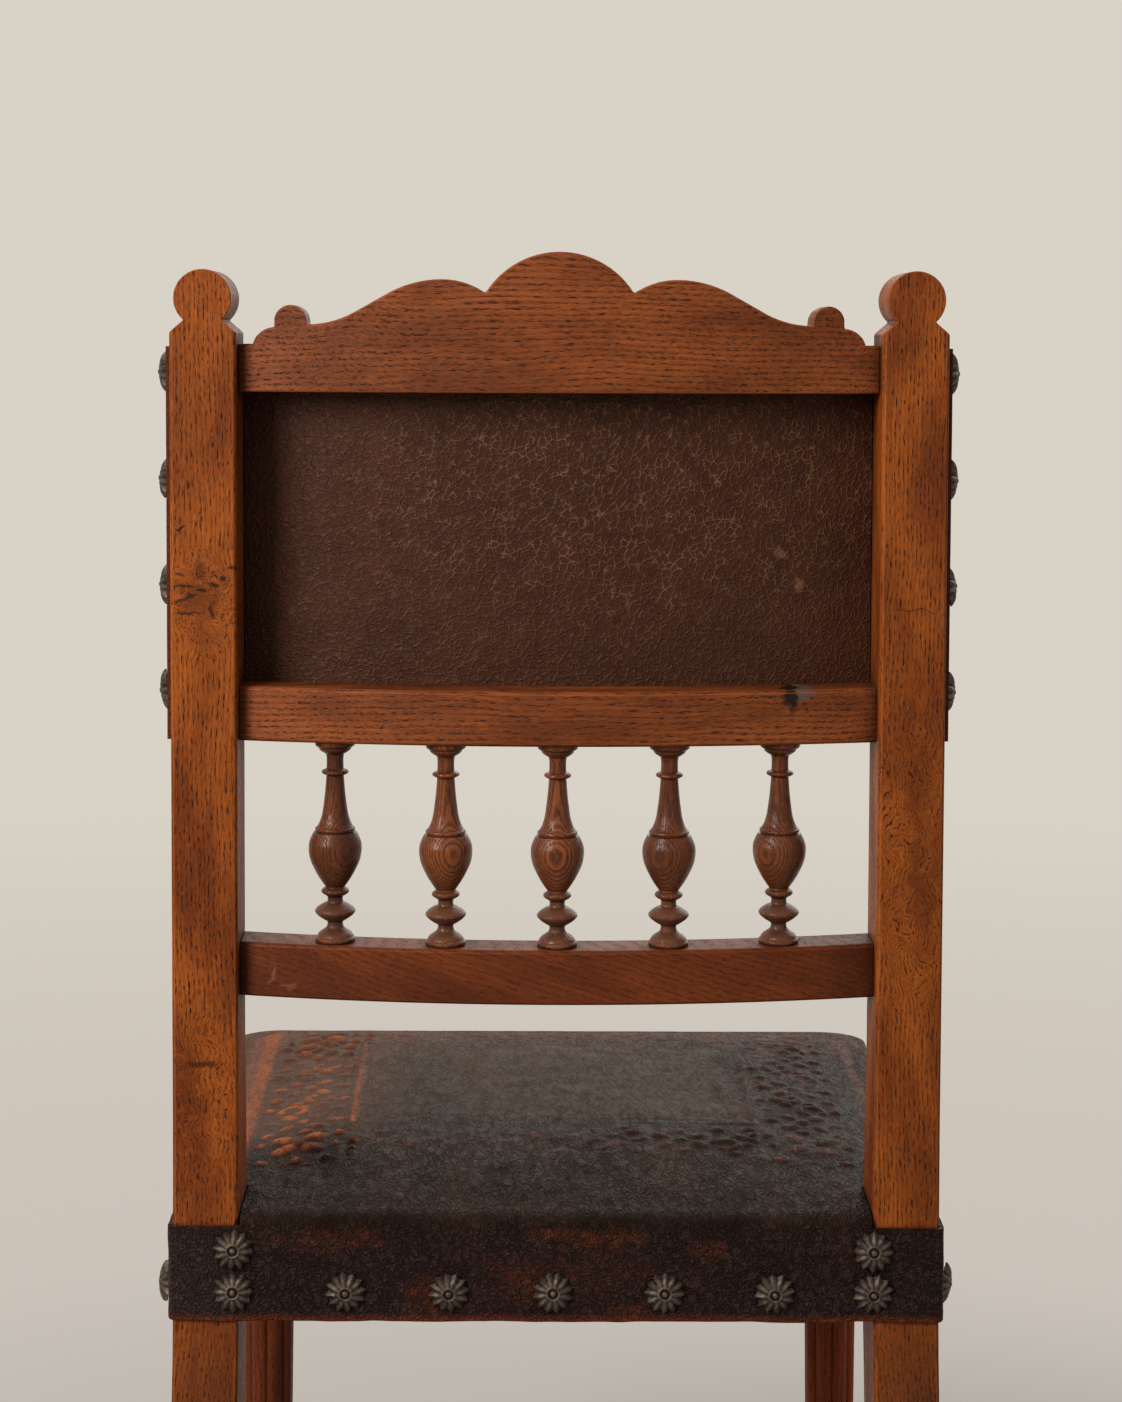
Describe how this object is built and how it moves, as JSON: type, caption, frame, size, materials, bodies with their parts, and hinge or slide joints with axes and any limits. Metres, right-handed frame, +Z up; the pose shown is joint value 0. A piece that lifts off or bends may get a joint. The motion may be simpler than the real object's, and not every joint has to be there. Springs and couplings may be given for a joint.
{
  "type": "dining chair",
  "caption": "Antique oak dining chair with bowed scroll-cut crest rail, turned back spindles, padded leather back, nailed leather seat, reeded front legs and low stretchers",
  "frame": {"origin": "centre of the bounding box, on the floor", "axes": "+Z up, +Y the way the sitter faces, +X to the right of someone standing behind the chair"},
  "size_m": [0.4504, 0.4724, 0.9813],
  "materials": {
    "oak": "old polish, worn",
    "leather": "worn, embossed border",
    "leathercloth": "crackled",
    "nails": "dark bronzed",
    "webbing": "jute",
    "hessian": "loose weave",
    "stuffing": "fibre"
  },
  "bodies": {
    "root": {"back_cover": "leather", "back_lining": "leathercloth", "back_nails_bottom": "nails", "back_nails_left": "nails", "back_nails_right": "nails", "back_nails_top": "nails", "back_spindle_1": "oak", "back_spindle_2": "oak", "back_spindle_3": "oak", "back_spindle_4": "oak", "back_spindle_5": "oak", "back_stuffing": "stuffing", "corner_block_front_left": "oak", "corner_block_front_right": "oak", "corner_block_rear_left": "oak", "corner_block_rear_right": "oak", "crest_rail": "oak", "cross_stretcher": "oak", "front_leg_left": "oak", "front_leg_right": "oak", "front_seat_rail": "oak", "left_seat_rail": "oak", "left_stretcher": "oak", "lower_back_rail": "oak", "middle_back_rail": "oak", "rear_leg_left": "oak", "rear_leg_right": "oak", "rear_seat_rail": "oak", "right_seat_rail": "oak", "right_stretcher": "oak", "seat_cover": "leather", "seat_hessian": "hessian", "seat_nails_front": "nails", "seat_nails_left": "nails", "seat_nails_rear": "nails", "seat_nails_right": "nails", "seat_stuffing": "stuffing", "webbing_front_to_back": "webbing", "webbing_side_to_side": "webbing"}
  },
  "joints": []
}
